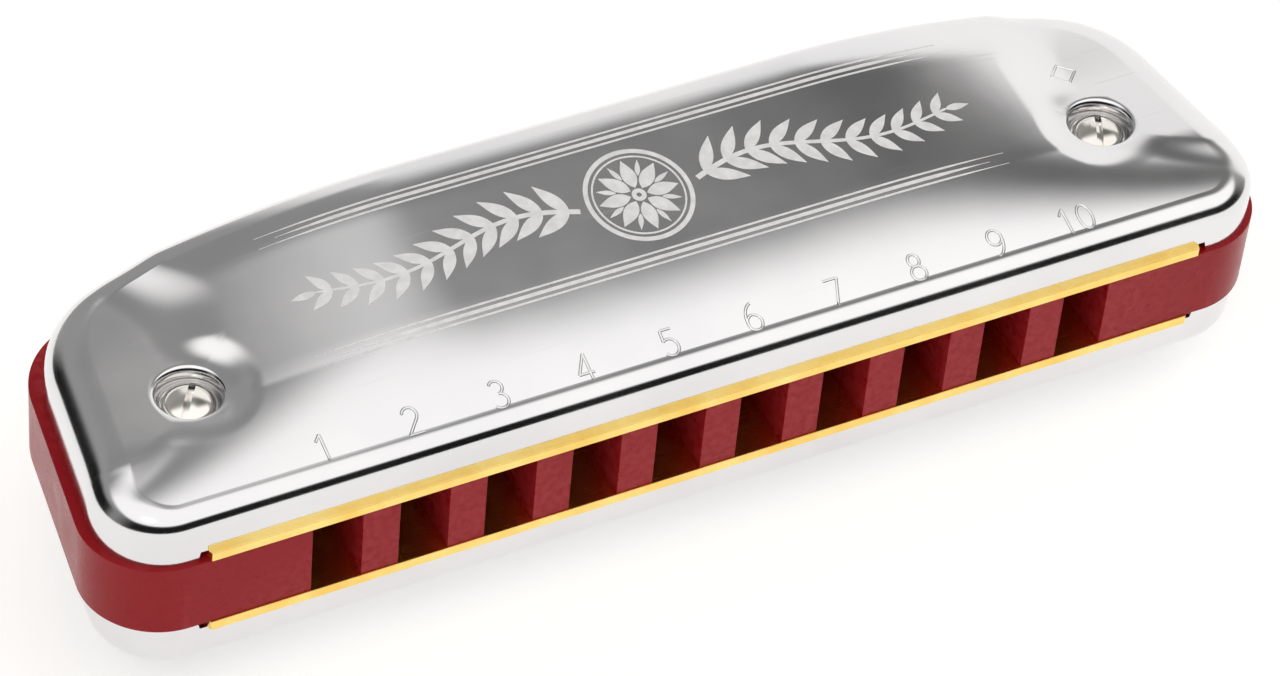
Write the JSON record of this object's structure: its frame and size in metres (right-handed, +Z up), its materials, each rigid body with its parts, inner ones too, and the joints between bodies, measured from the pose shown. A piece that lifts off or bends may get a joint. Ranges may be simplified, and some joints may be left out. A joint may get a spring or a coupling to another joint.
{
  "type": "diatonic harmonica",
  "caption": "Small diatonic harmonica with a red plastic comb, brass reed plates with spring reeds, and polished steel covers with an open back.",
  "frame": {"origin": "centre of the instrument's bounding box, on the comb's mid-plane", "axes": "+X along the row of holes from hole 1 to hole 10, -Y out of the mouthpiece towards the player, +Z up through the blow plate and the top cover"},
  "size_m": [0.1054, 0.0284, 0.0258],
  "materials": {
    "red_plastic": "glossy moulded",
    "plate_brass": "milled, satin",
    "reed_brass": "fine ground",
    "rivet_brass": "pressed",
    "cover_steel": "mirror polished",
    "screw_steel": "nickel plated",
    "small_screw_brass": "bright"
  },
  "bodies": {
    "body": {"comb": "red_plastic", "blow_reed_plate": "plate_brass", "draw_reed_plate": "plate_brass", "top_cover": "cover_steel", "bottom_cover": "cover_steel", "cover_screws": "screw_steel", "cover_nuts": "screw_steel", "reed_plate_screws": "small_screw_brass", "blow_reed_pads": "reed_brass", "draw_reed_pads": "reed_brass", "blow_reed_rivets": "rivet_brass", "draw_reed_rivets": "rivet_brass"},
    "blow_tongue_1": {"blow_reed_1": "reed_brass"},
    "blow_tongue_2": {"blow_reed_2": "reed_brass"},
    "blow_tongue_3": {"blow_reed_3": "reed_brass"},
    "blow_tongue_4": {"blow_reed_4": "reed_brass"},
    "blow_tongue_5": {"blow_reed_5": "reed_brass"},
    "blow_tongue_6": {"blow_reed_6": "reed_brass"},
    "blow_tongue_7": {"blow_reed_7": "reed_brass"},
    "blow_tongue_8": {"blow_reed_8": "reed_brass"},
    "blow_tongue_9": {"blow_reed_9": "reed_brass"},
    "blow_tongue_10": {"blow_reed_10": "reed_brass"},
    "draw_tongue_1": {"draw_reed_1": "reed_brass"},
    "draw_tongue_2": {"draw_reed_2": "reed_brass"},
    "draw_tongue_3": {"draw_reed_3": "reed_brass"},
    "draw_tongue_4": {"draw_reed_4": "reed_brass"},
    "draw_tongue_5": {"draw_reed_5": "reed_brass"},
    "draw_tongue_6": {"draw_reed_6": "reed_brass"},
    "draw_tongue_7": {"draw_reed_7": "reed_brass"},
    "draw_tongue_8": {"draw_reed_8": "reed_brass"},
    "draw_tongue_9": {"draw_reed_9": "reed_brass"},
    "draw_tongue_10": {"draw_reed_10": "reed_brass"}
  },
  "joints": [
    {"name": "blow_flex_1", "type": "hinge", "parent": "body", "child": "blow_tongue_1", "pos_m": [-0.03375, -0.00812, 0.00328], "axis": [1, 0, 0], "range_deg": [-3, 3], "stiffness_Nm_per_rad": 0.016},
    {"name": "blow_flex_2", "type": "hinge", "parent": "body", "child": "blow_tongue_2", "pos_m": [-0.02625, -0.00812, 0.00328], "axis": [1, 0, 0], "range_deg": [-3, 3], "stiffness_Nm_per_rad": 0.016},
    {"name": "blow_flex_3", "type": "hinge", "parent": "body", "child": "blow_tongue_3", "pos_m": [-0.01875, -0.00812, 0.00328], "axis": [1, 0, 0], "range_deg": [-3, 3], "stiffness_Nm_per_rad": 0.016},
    {"name": "blow_flex_4", "type": "hinge", "parent": "body", "child": "blow_tongue_4", "pos_m": [-0.01125, -0.00812, 0.00328], "axis": [1, 0, 0], "range_deg": [-3, 3], "stiffness_Nm_per_rad": 0.016},
    {"name": "blow_flex_5", "type": "hinge", "parent": "body", "child": "blow_tongue_5", "pos_m": [-0.00375, -0.00812, 0.00328], "axis": [1, 0, 0], "range_deg": [-3, 3], "stiffness_Nm_per_rad": 0.016},
    {"name": "blow_flex_6", "type": "hinge", "parent": "body", "child": "blow_tongue_6", "pos_m": [0.00375, -0.00812, 0.00328], "axis": [1, 0, 0], "range_deg": [-3, 3], "stiffness_Nm_per_rad": 0.016},
    {"name": "blow_flex_7", "type": "hinge", "parent": "body", "child": "blow_tongue_7", "pos_m": [0.01125, -0.00812, 0.00328], "axis": [1, 0, 0], "range_deg": [-3, 3], "stiffness_Nm_per_rad": 0.016},
    {"name": "blow_flex_8", "type": "hinge", "parent": "body", "child": "blow_tongue_8", "pos_m": [0.01875, -0.00812, 0.00328], "axis": [1, 0, 0], "range_deg": [-3, 3], "stiffness_Nm_per_rad": 0.016},
    {"name": "blow_flex_9", "type": "hinge", "parent": "body", "child": "blow_tongue_9", "pos_m": [0.02625, -0.00812, 0.00328], "axis": [1, 0, 0], "range_deg": [-3, 3], "stiffness_Nm_per_rad": 0.016},
    {"name": "blow_flex_10", "type": "hinge", "parent": "body", "child": "blow_tongue_10", "pos_m": [0.03375, -0.00812, 0.00328], "axis": [1, 0, 0], "range_deg": [-3, 3], "stiffness_Nm_per_rad": 0.016},
    {"name": "draw_flex_1", "type": "hinge", "parent": "body", "child": "draw_tongue_1", "pos_m": [-0.03375, 0.00792, -0.00462], "axis": [1, 0, 0], "range_deg": [-3, 3], "stiffness_Nm_per_rad": 0.016},
    {"name": "draw_flex_2", "type": "hinge", "parent": "body", "child": "draw_tongue_2", "pos_m": [-0.02625, 0.00736, -0.00462], "axis": [1, 0, 0], "range_deg": [-3, 3], "stiffness_Nm_per_rad": 0.016},
    {"name": "draw_flex_3", "type": "hinge", "parent": "body", "child": "draw_tongue_3", "pos_m": [-0.01875, 0.00681, -0.00462], "axis": [1, 0, 0], "range_deg": [-3, 3], "stiffness_Nm_per_rad": 0.016},
    {"name": "draw_flex_4", "type": "hinge", "parent": "body", "child": "draw_tongue_4", "pos_m": [-0.01125, 0.00625, -0.00462], "axis": [1, 0, 0], "range_deg": [-3, 3], "stiffness_Nm_per_rad": 0.016},
    {"name": "draw_flex_5", "type": "hinge", "parent": "body", "child": "draw_tongue_5", "pos_m": [-0.00375, 0.0057, -0.00462], "axis": [1, 0, 0], "range_deg": [-3, 3], "stiffness_Nm_per_rad": 0.016},
    {"name": "draw_flex_6", "type": "hinge", "parent": "body", "child": "draw_tongue_6", "pos_m": [0.00375, 0.00514, -0.00462], "axis": [1, 0, 0], "range_deg": [-3, 3], "stiffness_Nm_per_rad": 0.016},
    {"name": "draw_flex_7", "type": "hinge", "parent": "body", "child": "draw_tongue_7", "pos_m": [0.01125, 0.00459, -0.00462], "axis": [1, 0, 0], "range_deg": [-3, 3], "stiffness_Nm_per_rad": 0.016},
    {"name": "draw_flex_8", "type": "hinge", "parent": "body", "child": "draw_tongue_8", "pos_m": [0.01875, 0.00403, -0.00462], "axis": [1, 0, 0], "range_deg": [-3, 3], "stiffness_Nm_per_rad": 0.016},
    {"name": "draw_flex_9", "type": "hinge", "parent": "body", "child": "draw_tongue_9", "pos_m": [0.02625, 0.00348, -0.00462], "axis": [1, 0, 0], "range_deg": [-3, 3], "stiffness_Nm_per_rad": 0.016},
    {"name": "draw_flex_10", "type": "hinge", "parent": "body", "child": "draw_tongue_10", "pos_m": [0.03375, 0.00292, -0.00462], "axis": [1, 0, 0], "range_deg": [-3, 3], "stiffness_Nm_per_rad": 0.016}
  ]
}
